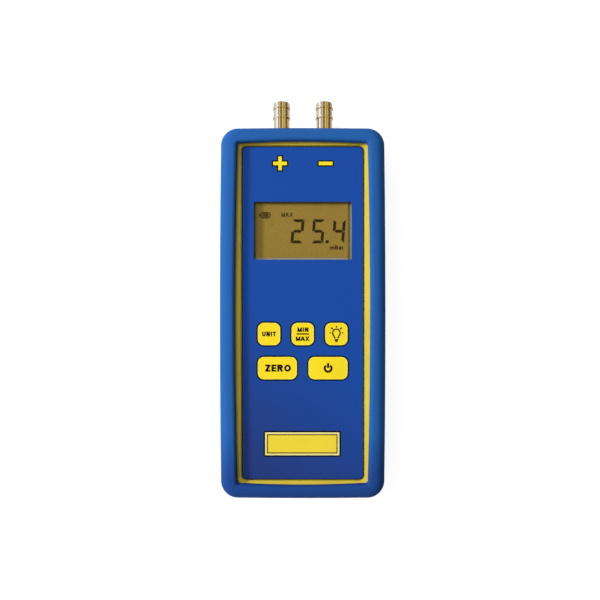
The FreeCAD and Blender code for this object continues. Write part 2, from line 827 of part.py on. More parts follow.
def make_key_fields():
    body = new_body("key_fields")
    fields = Drawing(body, height="film_top")
    for x, y, width in key_places():
        fields.rounded_box(x, y, width, "key_size", "key_corner")
    pad(body, fields, "print_layer")
    return body


def make_port_marks():
    body = new_body("port_marks")
    marks = Drawing(body, height="film_top")
    reach, stroke = "sign_length/2", "sign_stroke/2"
    steps = [(reach, stroke), (stroke, stroke), (stroke, reach)]
    corners = []
    for turn in range(4):
        for x, y in steps:
            for _ in range(turn):
                x, y = f"-({y})", x
            corners.append((f"plus_place + {x}", f"sign_row + {y}"))
    marks.outline(corners)
    marks.box("minus_place", "sign_row", "sign_length", "sign_stroke")
    pad(body, marks, "print_layer")
    return body


def make_name_field():
    body = new_body("name_field")
    field = Drawing(body, height="film_top").box("field_shift", "field_row", "field_width", "field_height")
    pad(body, field, "print_layer")
    line = Drawing(body, height="print_top")
    for inset in ("field_line_inset", "field_line_inset + field_line"):
        line.box("field_shift", "field_row", f"field_width - 2*({inset})", f"field_height - 2*({inset})")
    pocket(body, line, "print_layer")
    return body


# Keypad circuit under the film
def make_circuit():
    body = new_body("keypad_circuit")
    sheet_of_tracks = Drawing(body, height="circuit_under")
    sheet_of_tracks.box("0", "keypad_row", "circuit_width", "circuit_height")
    pad(body, sheet_of_tracks, "circuit")
    return body


def make_spacer():
    body = new_body("keypad_spacer")
    layer = Drawing(body, height="circuit_under + circuit")
    layer.box("0", "keypad_row", "circuit_width", "circuit_height")
    for x, y, _ in key_places():
        layer.circle(x, y, "dome_radius + dome_hole_gap")
    pad(body, layer, "circuit_spacer")
    return body


def make_domes():
    """Metal snap domes: each a shallow cap turned about its key's axis."""
    body = new_body("snap_domes")
    domes = Drawing(body, height="circuit_under + circuit")
    for x, y, _ in key_places():
        domes.circle(x, y, "dome_radius")
    pad(body, domes, "circuit_spacer")
    chamfer(body, "dome_bevel", lambda edge: level(edge, "film_seat"))
    return body


def make_tail():
    """The circuit's flexible tail: down through the slot to its socket on the board."""
    body = new_body("keypad_tail")
    profile = Drawing(body, plane="YZ", height="-tail_width/2")
    top, low = "circuit_under", "board_face + tail_socket/2"
    front, back = "tail_row - tail/2", "tail_row + tail/2"
    profile.outline([(back, top), (front, top), (front, low), (back, low)])
    pad(body, profile, "tail_width")
    return body


def make_tail_socket():
    body = new_body("tail_socket")
    block = Drawing(body, height="board_face").box("0", "tail_row", "tail_socket_width", "tail_socket_height")
    pad(body, block, "tail_socket")
    mouth = Drawing(body, height="board_face + tail_socket")
    mouth.box("0", "tail_row", "tail_width + 2*screw_gap", "tail + 2*screw_gap")
    pocket(body, mouth, "tail_socket/2")
    return body


# Display
def make_display_window():
    body = new_body("display_window")
    pane = Drawing(body, height="floor_under")
    pane.box("0", "window_row", "window_width + 2*lens_border", "window_height + 2*lens_border")
    pad(body, pane, "lens")
    return body


def make_lcd_glass():
    body = new_body("lcd_glass")
    pad(body, Drawing(body, height="lcd_under").box("0", "window_row", "lcd_width", "lcd_height"), "lcd")
    return body


def make_polariser():
    body = new_body("front_polariser")
    film = Drawing(body, height="lcd_top")
    film.box("polariser_shift", "window_row + polariser_lift",
             "window_width + polariser_extra", "window_height + polariser_extra")
    pad(body, film, "polariser")
    return body


def make_lcd_frame():
    body = new_body("lcd_frame")
    wide, high = "lcd_width + 2*lcd_frame_gap", "lcd_height + 2*lcd_frame_gap"
    ring = Drawing(body, height="board_face")
    ring.rounded_box("0", "window_row", f"{wide} + 2*lcd_frame_wall", f"{high} + 2*lcd_frame_wall",
                     "lcd_frame_wall")
    pad(body, ring, "floor_under - board_face")
    seat = Drawing(body, height="floor_under").box("0", "window_row", wide, high)
    pocket(body, seat, "floor_under - lcd_under")
    light_well = Drawing(body, height="lcd_under")
    light_well.box("0", "window_row", "backlight_width + 2*lcd_frame_gap",
                   "backlight_height + 2*lcd_frame_gap")
    pocket(body, light_well, "lcd_under - board_face")
    strip_wells = Drawing(body, height="lcd_under")
    for side in (-1, 1):
        strip_wells.box("0", f"window_row + {side}*(lcd_height/2 - strip_inset)",
                        "strip_length + 2*lcd_frame_gap", "strip_width + 2*lcd_frame_gap")
    pocket(body, strip_wells, "lcd_under - board_face")
    return body


def make_zebra_strips():
    body = new_body("contact_strips")
    strips = Drawing(body, height="board_face")
    for side in (-1, 1):
        strips.box("0", f"window_row + {side}*(lcd_height/2 - strip_inset)", "strip_length", "strip_width")
    pad(body, strips, "lcd_under - board_face")
    return body


def make_backlight():
    body = new_body("backlight_panel")
    light = Drawing(body, height="board_face").box("0", "window_row", "backlight_width", "backlight_height")
    pad(body, light, "backlight")
    return body


# Which of the seven strokes each shown digit lights: top, upper right, lower right, bottom,
# lower left, upper left, middle
STROKES = {"2": "abged", "5": "afgcd", "4": "fgbc"}


def stroke_outlines():
    """The seven strokes of an upright digit about its middle, as closed lists of points."""
    half, tall = size("digit_width/2"), size("digit_height/2")
    stroke, split = size("digit_stroke"), size("digit_split")
    reach = half - split
    inner, narrow = reach - stroke / 2, reach - stroke
    level_top = [(-reach, tall), (reach, tall), (narrow, tall - stroke), (-narrow, tall - stroke)]
    side = [(half, tall - split), (half, split), (half - stroke / 2, split),
            (half - stroke, stroke / 2 + split), (half - stroke, tall - stroke - split)]
    middle = [(-inner, 0), (-narrow, stroke / 2), (narrow, stroke / 2), (inner, 0), (narrow, -stroke / 2),
              (-narrow, -stroke / 2)]
    return {
        "a": level_top,
        "b": side,
        "c": [(x, -y) for x, y in side],
        "d": [(x, -y) for x, y in level_top],
        "e": [(-x, -y) for x, y in side],
        "f": [(-x, y) for x, y in side],
        "g": middle,
    }


def make_lcd_segments():
    """The lit strokes of a reading of three digits, thin on the glass."""
    slant, base = size("digit_slant"), size("lcd_top + polariser")
    strokes = stroke_outlines()
    faces = []
    for number, digit in ((-1, "2"), (0, "5"), (1, "4")):
        middle = size("middle_digit") + number * size("digit_pitch")
        for letter in STROKES[digit]:
            points = [Vector(middle + x + slant * y, size("digit_row") + y, base) for x, y in strokes[letter]]
            faces.append(Part.Face(Part.makePolygon(points + points[:1])))
    side = size("point_side")
    corner = Vector(size("middle_digit + point_shift") - side / 2, size("digit_row - digit_height/2"), base)
    faces.append(Part.makePlane(side, side, corner))
    ink = [face.extrude(Vector(0, 0, size("lcd_ink"))) for face in faces]
    feature = doc.addObject("Part::Feature", "lcd_segments")
    feature.Shape = Part.makeCompound(ink)
    feature.Placement = FreeCAD.Placement(Vector(0, size("middle_shift"), 0), FreeCAD.Rotation())
    return feature


# Circuit board and the parts on it
def make_board():
    body = new_body("main_board")
    plate = Drawing(body, height="board_under")
    plate.rounded_box("0", "board_middle", "board_width", "board_top - board_bottom", "board_corner")
    for x, y in corner_places("post_column", "post_row", "board_middle"):
        plate.circle(x, y, "board_screw_radius + screw_gap")
    pad(body, plate, "board")
    return body


def make_chip():
    body = new_body("microcontroller")
    block = Drawing(body, height="board_under - chip").box("0", "chip_row", "chip_size", "chip_size")
    pad(body, block, "chip")
    chamfer(body, "chip_leg_depth", upright)
    legs = Drawing(body, height="board_under - chip_leg_depth")
    for number in range(int(size("chip_leg_count"))):
        along = f"({number} - (chip_leg_count - 1)/2)*chip_leg_pitch"
        for side in (-1, 1):
            away = f"{side}*(chip_size/2 + chip_leg/2 - chip_leg_depth/2)"
            legs.box(away, f"chip_row + {along}", "chip_leg + chip_leg_depth", "chip_leg_width")
            legs.box(along, f"chip_row + {away}", "chip_leg_width", "chip_leg + chip_leg_depth")
    pad(body, legs, "chip_leg_depth")
    return body


def make_amplifier():
    body = new_body("amplifier_chip")
    block = Drawing(body, height="board_under - chip")
    block.box("0", "amplifier_row", "amplifier_length", "amplifier_width")
    pad(body, block, "chip")
    legs = Drawing(body, height="board_under - chip_leg_depth")
    for number in range(int(size("amplifier_leg_count"))):
        along = f"({number} - (amplifier_leg_count - 1)/2)*amplifier_leg_pitch"
        for side in (-1, 1):
            row = f"amplifier_row + {side}*(amplifier_width/2 + chip_leg/2)"
            legs.box(along, row, "chip_leg_width", "chip_leg")
    pad(body, legs, "chip_leg_depth")
    return body


def make_crystal():
    body = new_body("crystal")
    can = Drawing(body, height="board_under")
    can.rounded_box("0", "crystal_row", "crystal_length", "crystal_width", "crystal_round")
    pad(body, can, "crystal", backward=True)
    return body


def make_passives():
    """Small resistors and capacitors in two columns beside the chip."""
    body = new_body("chip_resistors")
    chips = Drawing(body, height="board_under")
    for number in range(int(size("passive_count"))):
        row = f"chip_row + ({number} - (passive_count - 1)/2)*passive_pitch"
        for side in (-1, 1):
            column = f"{side}*(chip_size/2 + 2*chip_leg + 2*passive_length)"
            chips.box(column, row, "passive_length", "passive_width")
    pad(body, chips, "passive_depth", backward=True)
    return body


# Pressure sensor, its hoses and the ports
def make_sensor():
    body = new_body("pressure_sensor")
    centre = "sensor_top - nozzle_reach - sensor_height/2"
    block = Drawing(body, height="board_under").box("0", centre, "sensor_width", "sensor_height")
    pad(body, block, "sensor_depth", backward=True)
    cell = Drawing(body, height="board_under - sensor_depth").circle("0", centre, "sensor_cell_radius")
    pad(body, cell, "sensor_cell", backward=True)
    nozzles = Drawing(body, plane="XZ", height="-(sensor_top - nozzle_reach)")
    for side in (-1, 1):
        nozzles.circle(f"{side}*port_x", "port_z", "nozzle_radius")
    pad(body, nozzles, "nozzle_reach", backward=True)
    bores = Drawing(body, plane="XZ", height="-sensor_top")
    for side in (-1, 1):
        bores.circle(f"{side}*port_x", "port_z", "nozzle_bore")
    pocket(body, bores, "nozzle_reach + sensor_height/2", forward=True)
    return body


def make_hose(name, side):
    body = new_body(name)
    ring = Drawing(body, plane="XZ", height="-hose_foot")
    ring.circle(f"{side}*port_x", "port_z", "spigot_radius + hose_gap + hose_wall")
    ring.circle(f"{side}*port_x", "port_z", "spigot_radius + hose_gap")
    pad(body, ring, "hose_run", backward=True)
    return body


def make_port(name, side):
    """A brass fitting: barbs for the hose outside, a six-sided collar, a shank and a spigot."""
    body = new_body(name)
    x = f"{side}*port_x"
    steps = [("airway_radius", "spigot_end"), ("spigot_radius", "spigot_end"), ("spigot_radius", "shank_end"),
             ("shank_radius", "shank_end"), ("shank_radius", "collar_end"), ("barb_valley", "collar_end")]
    for number in reversed(range(int(size("barb_count")))):
        ring = f"(port_tip - barb_lead - barb_land - {number}*barb_pitch)"
        steps += [("barb_valley", ring), ("barb_radius", ring), ("barb_radius", f"{ring} + barb_land"),
                  ("barb_shoulder", f"{ring} + barb_land + barb_bevel")]
    steps += [("barb_tip_radius", "port_tip - barb_tip_bevel"), ("barb_tip_radius - barb_tip_bevel", "port_tip"),
              ("airway_radius", "port_tip")]
    profile = Drawing(body, height="port_z").outline([(f"{x} + {reach}", along) for reach, along in steps])
    turned = body.newObject("PartDesign::Revolution", name + "_turned")
    turned.Profile = profile.sketch
    axis = Drawing(body, height="port_z")
    ends = Vector(size(x), 0, 0), Vector(size(x), size("barb_pitch"), 0)
    line = axis.sketch.addGeometry(Part.LineSegment(*ends))
    axis.sketch.addConstraint(Sketcher.Constraint("Vertical", line))
    axis.pin(line, 1, x, "0")
    axis.bind("DistanceY", (-1, 1, line, 2), "barb_pitch")
    turned.ReferenceAxis = (axis.sketch, ["Edge1"])
    turned.Angle = 360
    collar = Drawing(body, plane="XZ", height="-(case_end + seal)")
    hexagon(collar, x, "port_z", "collar_flats")
    collar.circle(x, "port_z", "spigot_radius")
    pad(body, collar, "collar", backward=True)
    return body


def hexagon(drawing, x, z, flats):
    """A six-sided outline with two flats level, given by the distance across flats."""
    reach, rise = f"{flats}/sqrt(3)", f"{flats}/2"
    return drawing.outline([
        (f"{x} + {reach}", z),
        (f"{x} + {reach}/2", f"{z} + {rise}"),
        (f"{x} - {reach}/2", f"{z} + {rise}"),
        (f"{x} - {reach}", z),
        (f"{x} - {reach}/2", f"{z} - {rise}"),
        (f"{x} + {reach}/2", f"{z} - {rise}"),
    ])


def make_port_seals():
    body = new_body("port_seals")
    rings = Drawing(body, plane="XZ", height="-case_end")
    for side in (-1, 1):
        rings.circle(f"{side}*port_x", "port_z", "seal_radius")
        rings.circle(f"{side}*port_x", "port_z", "shank_radius + shank_gap")
    pad(body, rings, "seal", backward=True)
    return body


def make_port_nuts():
    body = new_body("port_nuts")
    nuts = Drawing(body, plane="XZ", height="-(case_end - case_wall)")
    for side in (-1, 1):
        hexagon(nuts, f"{side}*port_x", "port_z", "nut_flats")
        nuts.circle(f"{side}*port_x", "port_z", "shank_radius + screw_gap")
    pad(body, nuts, "nut")
    return body


# Screws
def make_screws(name, places, base, radius, head, head_depth, length):
    """A group of like screws that point along +Z: round heads with a slot, and plain shanks."""
    body = new_body(name)
    heads = Drawing(body, height=base)
    for x, y in places:
        heads.circle(x, y, head)
    pad(body, heads, head_depth)
    shanks = Drawing(body, height=f"{base} + {head_depth}")
    for x, y in places:
        shanks.circle(x, y, radius)
    pad(body, shanks, length)
    for along, across in ((f"1.5*{head}", "screw_slot"), ("screw_slot", f"1.5*{head}")):
        slots = Drawing(body, height=base)
        for x, y in places:
            slots.box(x, y, along, across)
        pocket(body, slots, f"{head_depth}/2", forward=True)
    return body


PIECES = [
    make_boot(),
    make_front_case(),
    make_rear_case(),
    make_gasket(),
    make_battery_door(),
    make_door_foam(),
    make_battery(),
    make_battery_contacts(),
    make_contact_holder(),
    make_lead("positive_lead", 1, "low_lead_drop", "low_lead_landing"),
    make_lead("negative_lead", -1, "high_lead_drop", "high_lead_landing"),
    make_overlay(),
    make_key_fields(),
    make_port_marks(),
    make_name_field(),
    make_circuit(),
    make_spacer(),
    make_domes(),
    make_tail(),
    make_tail_socket(),
    make_display_window(),
    make_lcd_glass(),
    make_polariser(),
    make_lcd_segments(),
    make_lcd_frame(),
    make_zebra_strips(),
    make_backlight(),
    make_board(),
    make_chip(),
    make_amplifier(),
    make_crystal(),
    make_passives(),
    make_sensor(),
    make_hose("positive_hose", -1),
    make_hose("negative_hose", 1),
    make_port("positive_port", -1),
    make_port("negative_port", 1),
    make_port_seals(),
    make_port_nuts(),
    make_screws("case_screws", corner_places("case_screw_column", "case_screw_row"),
                "case_back + case_screw_sink - case_screw_head_depth", "case_screw_radius", "case_screw_head",
                "case_screw_head_depth", "parting + case_screw_bite - case_back - case_screw_sink"),
    make_screws("board_screws", corner_places("post_column", "post_row", "board_middle"),
                "board_under - board_screw_head_depth", "board_screw_radius", "board_screw_head",
                "board_screw_head_depth", "board + board_screw_reach - screw_gap"),
]

doc.recompute()

# Every feature has to be sound, and every cut has to take something away
for item in doc.Objects:
    if "Invalid" in item.State or "Error" in item.State:
        raise RuntimeError(f"{item.Label} failed: {item.State}")
    if item.TypeId == "PartDesign::Pocket" and item.Shape.Volume > item.BaseFeature.Shape.Volume - 1e-6:
        raise RuntimeError(f"{item.Label} cuts nothing")
for piece in PIECES:
    if piece.Shape.isNull() or not piece.Shape.isValid():
        raise RuntimeError(f"{piece.Label} has no sound shape")
    piece.Shape.exportStep(f"parts/{piece.Label}.step")
    print(f"{piece.Label}: {len(piece.Shape.Solids)} solid(s), {piece.Shape.Volume:.1f} mm3")
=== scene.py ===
import math

import bmesh
import bpy
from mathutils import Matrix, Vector
from mathutils.geometry import delaunay_2d_cdt


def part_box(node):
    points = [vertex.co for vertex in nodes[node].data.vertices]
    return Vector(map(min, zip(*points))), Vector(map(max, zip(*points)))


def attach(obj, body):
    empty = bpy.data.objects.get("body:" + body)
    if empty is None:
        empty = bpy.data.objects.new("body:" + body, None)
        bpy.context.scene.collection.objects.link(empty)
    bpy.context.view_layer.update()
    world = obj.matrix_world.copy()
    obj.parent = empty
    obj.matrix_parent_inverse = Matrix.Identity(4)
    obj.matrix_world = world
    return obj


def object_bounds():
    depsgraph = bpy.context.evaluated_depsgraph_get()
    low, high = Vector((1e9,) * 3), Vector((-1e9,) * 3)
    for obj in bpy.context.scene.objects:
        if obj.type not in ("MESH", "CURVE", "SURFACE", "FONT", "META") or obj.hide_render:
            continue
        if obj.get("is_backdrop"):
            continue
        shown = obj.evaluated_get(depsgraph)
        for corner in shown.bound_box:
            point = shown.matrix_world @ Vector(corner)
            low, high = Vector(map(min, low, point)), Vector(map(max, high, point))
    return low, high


# Looks of the handheld differential pressure meter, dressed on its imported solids.
# The meter lies on its back: +Z out of the front face, +Y to the hose ports. Sizes are written in
# millimetres and turned into metres where they are used.

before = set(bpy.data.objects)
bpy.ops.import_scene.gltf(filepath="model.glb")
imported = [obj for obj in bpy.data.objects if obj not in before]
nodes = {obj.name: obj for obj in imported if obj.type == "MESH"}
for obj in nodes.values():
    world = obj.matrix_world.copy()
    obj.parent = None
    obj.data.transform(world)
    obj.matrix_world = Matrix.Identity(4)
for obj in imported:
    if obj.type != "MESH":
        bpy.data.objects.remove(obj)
cad_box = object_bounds()
MM = 0.001


# Materials
def rgb(red, green, blue):
    """A colour written as 0 to 255 on a screen, as the shader's linear values."""
    def linear(value):
        share = value / 255
        return share / 12.92 if share <= 0.04045 else ((share + 0.055) / 1.055) ** 2.4
    return linear(red), linear(green), linear(blue), 1.0


class Shader:
    """A principled material with helpers for its texture nodes, on coordinates fixed to the object."""

    def __init__(self, name, roughness=0.5, metallic=0.0, specular=0.5):
        self.material = bpy.data.materials.new(name)
        self.material.use_nodes = True
        self.tree = self.material.node_tree
        self.principled = self.tree.nodes["Principled BSDF"]
        self.principled.inputs["Roughness"].default_value = roughness
        self.principled.inputs["Metallic"].default_value = metallic
        self.principled.inputs["Specular IOR Level"].default_value = specular
        self.place = self.tree.nodes.new("ShaderNodeTexCoord").outputs["Object"]

    def node(self, kind, **values):
        made = self.tree.nodes.new(kind)
        for name, value in values.items():
            if name in made.bl_rna.properties:
                setattr(made, name, value)
            else:
                made.inputs[name.replace("_", " ")].default_value = value
        return made

    def link(self, source, target):
        self.tree.links.new(source, target)

    def noise(self, feature, detail=2.0, stretch=None):
        """Noise whose features are about so many millimetres, stretched by a factor along each axis."""
        texture = self.node("ShaderNodeTexNoise", Scale=1 / (feature * MM), Detail=detail)
        place = self.place
        if stretch:
            mapping = self.node("ShaderNodeMapping")
            mapping.inputs["Scale"].default_value = [1 / factor for factor in stretch]
            self.link(place, mapping.inputs["Vector"])
            place = mapping.outputs["Vector"]
        self.link(place, texture.inputs["Vector"])
        return texture.outputs["Fac"]

    def drift(self, way, start, end):
        """A slow change along a way, from one distance in millimetres to another, with a faint unevenness."""
        along = self.node("ShaderNodeVectorMath", operation="DOT_PRODUCT")
        along.inputs[1].default_value = way
        self.link(self.place, along.inputs[0])
        spread = self.node("ShaderNodeMapRange", From_Min=start * MM, From_Max=end * MM, To_Min=0.27,
                           To_Max=0.67)
        self.link(along.outputs["Value"], spread.inputs["Value"])
        uneven = self.node("ShaderNodeMath", operation="MULTIPLY_ADD")
        uneven.inputs[1].default_value = 0.06
        self.link(self.noise(20, detail=3), uneven.inputs[0])
        self.link(spread.outputs["Result"], uneven.inputs[2])
        return uneven.outputs[0]

    def colour(self, first, second, share):
        """The base colour runs from the first to the second colour with a texture."""
        ramp = self.node("ShaderNodeValToRGB")
        ramp.color_ramp.elements[0].position = 0.3
        ramp.color_ramp.elements[0].color = first
        ramp.color_ramp.elements[1].position = 0.7
        ramp.color_ramp.elements[1].color = second
        self.link(share, ramp.inputs["Fac"])
        self.link(ramp.outputs["Color"], self.principled.inputs["Base Color"])
        return self

    def gloss(self, low, high, share):
        """The roughness runs between two values with a texture."""
        spread = self.node("ShaderNodeMapRange", From_Min=0.3, From_Max=0.7, To_Min=low, To_Max=high)
        self.link(share, spread.inputs["Value"])
        self.link(spread.outputs["Result"], self.principled.inputs["Roughness"])
        return self

    def bump(self, height, strength, depth):
        """A relief whose depth is in millimetres."""
        relief = self.node("ShaderNodeBump", Strength=strength, Distance=depth * MM)
        last = self.principled.inputs["Normal"].links
        if last:
            self.link(last[0].from_socket, relief.inputs["Normal"])
        self.link(height, relief.inputs["Height"])
        self.link(relief.outputs["Normal"], self.principled.inputs["Normal"])
        return self


def moulded(name, colour, roughness, grain=0.35, depth=0.02, shade=0.9, specular=0.5):
    """Moulded plastic or rubber: a fine eroded grain, faint flow marks and small changes of gloss."""
    shader = Shader(name, roughness, specular=specular)
    dim = tuple(value * shade for value in colour[:3]) + (1.0,)
    shader.colour(dim, colour, shader.noise(14, detail=4))
    shader.gloss(roughness - 0.05, roughness + 0.07, shader.noise(5, detail=5))
    shader.bump(shader.noise(grain, detail=3), 0.35, depth)
    return shader


def metal(name, colour, roughness, lines=0.12, along=(1, 40, 40), tarnish=0.85):
    """Bright metal with fine tool marks and a faint tarnish."""
    shader = Shader(name, roughness, metallic=1.0)
    dull = tuple(value * tarnish for value in colour[:3]) + (1.0,)
    shader.colour(dull, colour, shader.noise(2.5, detail=5))
    shader.gloss(roughness - 0.02, roughness + 0.05, shader.noise(1.5, detail=4))
    shader.bump(shader.noise(lines, stretch=along), 0.2, 0.006)
    return shader


BOOT_BLUE = rgb(38, 94, 164)
SHADED_BOOT_BLUE = rgb(31, 70, 138)
FILM_BLUE = rgb(27, 74, 159)
SHADED_FILM_BLUE = rgb(38, 60, 124)
CASE_YELLOW = rgb(211, 188, 61)
KEY_YELLOW = rgb(252, 224, 38)
FIELD_YELLOW = rgb(244, 217, 60)
PALE_YELLOW = rgb(242, 230, 150)
EDGE_YELLOW = rgb(254, 236, 92)
LEGEND = rgb(22, 10, 2)
LINE = rgb(4, 12, 12)

boot_rubber = moulded("boot_rubber", BOOT_BLUE, 0.5, grain=0.3, depth=0.03, shade=0.93, specular=0.1)
# Painted shade: the boot's blue runs darker towards its lower end, between 60 and 80 mm down from the middle.
boot_rubber.colour(BOOT_BLUE, SHADED_BOOT_BLUE, boot_rubber.drift((0, -1, 0), 60, 80))
case_plastic = moulded("case_plastic", CASE_YELLOW, 0.48, grain=0.4, depth=0.02, specular=0.3)
seal_rubber = moulded("seal_rubber", rgb(28, 28, 30), 0.7, grain=0.2)
black_plastic = moulded("black_plastic", rgb(34, 34, 37), 0.45)
white_plastic = moulded("white_plastic", rgb(232, 232, 226), 0.4, grain=0.5)
hose_silicone = moulded("hose_silicone", rgb(222, 222, 214), 0.42, grain=1.2, depth=0.01)
lead_red = moulded("lead_red", rgb(190, 30, 24), 0.35, grain=0.5, depth=0.005)
lead_black = moulded("lead_black", rgb(26, 26, 28), 0.35, grain=0.5, depth=0.005)
battery_can = moulded("battery_can", rgb(52, 54, 60), 0.3, grain=2.0, depth=0.01)

port_brass = metal("port_brass", rgb(226, 200, 136), 0.06, lines=0.08, along=(30, 1, 30), tarnish=0.93)
spring_metal = metal("spring_metal", rgb(205, 205, 208), 0.2)
can_metal = metal("can_metal", rgb(200, 200, 200), 0.25)
screw_steel = metal("screw_steel", rgb(190, 190, 186), 0.3)


def satin_film(name, colour, shade=0.94, specular=0.2):
    """Polyester film printed from behind: an even colour under a fine satin texture."""
    shader = Shader(name, 0.42, specular=specular)
    dim = tuple(value * shade for value in colour[:3]) + (1.0,)
    shader.colour(dim, colour, shader.noise(20, detail=3))
    shader.gloss(0.38, 0.47, shader.noise(3, detail=4))
    shader.bump(shader.noise(0.22, detail=2), 0.3, 0.012)
    shader.bump(shader.noise(9, detail=1), 0.25, 0.03)
    return shader


# Painted shade: the film's blue runs darker towards its lower left corner
overlay_film = satin_film("overlay_film", FILM_BLUE, specular=0.1)
overlay_film.colour(FILM_BLUE, SHADED_FILM_BLUE, overlay_film.drift((-0.6, -0.8, 0), 17, 72))
yellow_print = satin_film("yellow_print", KEY_YELLOW)
field_print = satin_film("field_print", FIELD_YELLOW)
pale_print = satin_film("pale_print", PALE_YELLOW)
edge_print = satin_film("edge_print", EDGE_YELLOW)
brown_print = satin_film("brown_print", rgb(84, 62, 14), specular=0.1)
legend_print = satin_film("legend_print", LEGEND, specular=0.1)
# Dark lines: the printed key, mark and field outlines, and the painted shadow along the film's edge
print_and_shadow_line = satin_film("print_and_shadow_line", LINE, specular=0.1)
clear_film = satin_film("clear_film", rgb(200, 200, 188))

foam = Shader("foam", 0.9)
foam.colour(rgb(30, 30, 32), rgb(58, 58, 60), foam.noise(0.8, detail=4))
foam.bump(foam.noise(0.6, detail=3), 0.8, 0.2)

board_green = Shader("board_green", 0.3)
board_green.colour(rgb(12, 84, 44), rgb(20, 112, 58), board_green.noise(1.6, stretch=(1, 12, 1)))
board_green.gloss(0.25, 0.35, board_green.noise(6))
board_green.bump(board_green.noise(0.5, stretch=(1, 8, 1)), 0.3, 0.03)

display_glass = Shader("display_glass", 0.2, specular=0.3)
display_glass.colour(rgb(164, 160, 130), rgb(176, 172, 142), display_glass.noise(6, detail=3))
display_glass.gloss(0.15, 0.25, display_glass.noise(8))

display_film = Shader("display_film", 0.35, specular=0.15)
display_film.colour(rgb(160, 131, 53), rgb(170, 141, 63), display_film.noise(1.1, detail=5))
display_film.gloss(0.3, 0.4, display_film.noise(3))

edge_seal = Shader("edge_seal", 0.6, specular=0.2)
edge_seal.colour(rgb(108, 104, 58), rgb(118, 114, 68), edge_seal.noise(2, detail=3))
edge_seal.gloss(0.55, 0.65, edge_seal.noise(3))

display_ink = Shader("display_ink", 0.5, specular=0.1)
display_ink.colour(rgb(44, 28, 5), rgb(54, 36, 9), display_ink.noise(0.8, detail=3))
display_ink.gloss(0.45, 0.55, display_ink.noise(2))

lens = Shader("lens", 0.06, specular=0.3)
lens.colour(rgb(60, 58, 40), rgb(66, 64, 46), lens.noise(12))
lens.gloss(0.04, 0.09, lens.noise(5))
lens.principled.inputs["Alpha"].default_value = 0.08

MATERIAL_OF = {
    "protective_boot": boot_rubber, "front_case": case_plastic, "rear_case": case_plastic,
    "case_gasket": seal_rubber, "battery_door": case_plastic, "door_foam": foam, "battery": battery_can,
    "battery_contacts": spring_metal, "contact_holder": black_plastic, "positive_lead": lead_red,
    "negative_lead": lead_black, "graphic_overlay": overlay_film, "key_fields": yellow_print,
    "port_marks": yellow_print, "name_field": field_print, "keypad_circuit": clear_film,
    "keypad_spacer": clear_film, "snap_domes": spring_metal, "keypad_tail": clear_film,
    "tail_socket": white_plastic, "display_window": lens, "lcd_glass": display_glass,
    "front_polariser": display_film, "lcd_segments": display_ink, "lcd_frame": black_plastic,
    "contact_strips": seal_rubber, "backlight_panel": white_plastic, "main_board": board_green,
    "microcontroller": black_plastic, "amplifier_chip": black_plastic, "crystal": can_metal,
    "chip_resistors": black_plastic, "pressure_sensor": white_plastic, "positive_hose": hose_silicone,
    "negative_hose": hose_silicone, "positive_port": port_brass, "negative_port": port_brass,
    "port_seals": seal_rubber, "port_nuts": port_brass, "case_screws": screw_steel,
    "board_screws": screw_steel,
}
for name, shader in MATERIAL_OF.items():
    for slot in nodes[name].material_slots:
        slot.material = shader.material


# Outlines in millimetres, each a closed list of points
def bar(left, low, right, high):
    return [(left, low), (right, low), (right, high), (left, high)]


def slope(foot, low, head, high, width):
    """A slanted stroke with level ends."""
    half = width / 2
    return [(foot - half, low), (foot + half, low), (head + half, high), (head - half, high)]


def stroke(points, width):
    """A line of even width through points."""
    left, right = [], []
    for index, point in enumerate(points):
        before, after = points[max(index - 1, 0)], points[min(index + 1, len(points) - 1)]
        along = Vector((after[0] - before[0], after[1] - before[1])).normalized() * (width / 2)
        left.append((point[0] - along.y, point[1] + along.x))
        right.append((point[0] + along.y, point[1] - along.x))
    return left + right[::-1]


def arc(x, y, across, rise, start, end, steps=16):
    """Points along an arc of a circle or an oval, its angles in degrees."""
    angles = [math.radians(start + (end - start) * step / steps) for step in range(steps + 1)]
    return [(x + across * math.cos(angle), y + rise * math.sin(angle)) for angle in angles]


def rounded_box(x, y, width, height, corner):
    """A box with round corners."""
    points = []
    for start, side, end in ((0, 1, 1), (90, -1, 1), (180, -1, -1), (270, 1, -1)):
        middle = x + side * (width / 2 - corner), y + end * (height / 2 - corner)
        points += arc(*middle, corner, corner, start, start + 90, steps=8)
    return points


def frame_line(x, y, width, height, corner, line):
    """A line of even width round the outside of a box, as four overlapping strokes."""
    ring = rounded_box(x, y, width + line, height + line, corner + line / 2)
    count = len(ring)
    pieces = []
    for quarter in range(4):
        first = quarter * count // 4 + 4
        pieces.append(stroke([ring[(first + step) % count] for step in range(count // 4 + 1)], line))
    return pieces


# Flat printed pieces
PRINT = 0.03


def piece(name, outlines, base, shader):
    """A printed piece: the union of its outlines, raised to print thickness."""
    places, rings = [], []
    for outline in outlines:
        turn = sum(a[0] * b[1] - b[0] * a[1] for a, b in zip(outline, outline[1:] + outline[:1]))
        rings.append(list(range(len(places), len(places) + len(outline))))
        places += [Vector(point) for point in (outline if turn > 0 else outline[::-1])]
    points, _, triangles, _, _, sources = delaunay_2d_cdt(places, [], rings, 0, 1e-5)
    filled = [triangle for triangle, source in zip(triangles, sources) if source]
    shape = bmesh.new()
    used = sorted({index for triangle in filled for index in triangle})
    levels = [{index: shape.verts.new(Vector((*points[index], height)) * MM) for index in used}
              for height in (base, base + PRINT)]
    sides = {}
    for triangle in filled:
        shape.faces.new([levels[1][index] for index in triangle])
        shape.faces.new([levels[0][index] for index in reversed(triangle)])
        for edge in zip(triangle, triangle[1:] + triangle[:1]):
            sides[edge] = tuple(reversed(edge))
    for (start, end), opposite in sides.items():
        if opposite not in sides:
            shape.faces.new((levels[0][start], levels[0][end], levels[1][end], levels[1][start]))
    mesh = bpy.data.meshes.new(name)
    shape.to_mesh(mesh)
    shape.free()
    made = bpy.data.objects.new(name, mesh)
    bpy.context.scene.collection.objects.link(made)
    mesh.materials.append(shader.material)
    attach(made, "root")
    return made


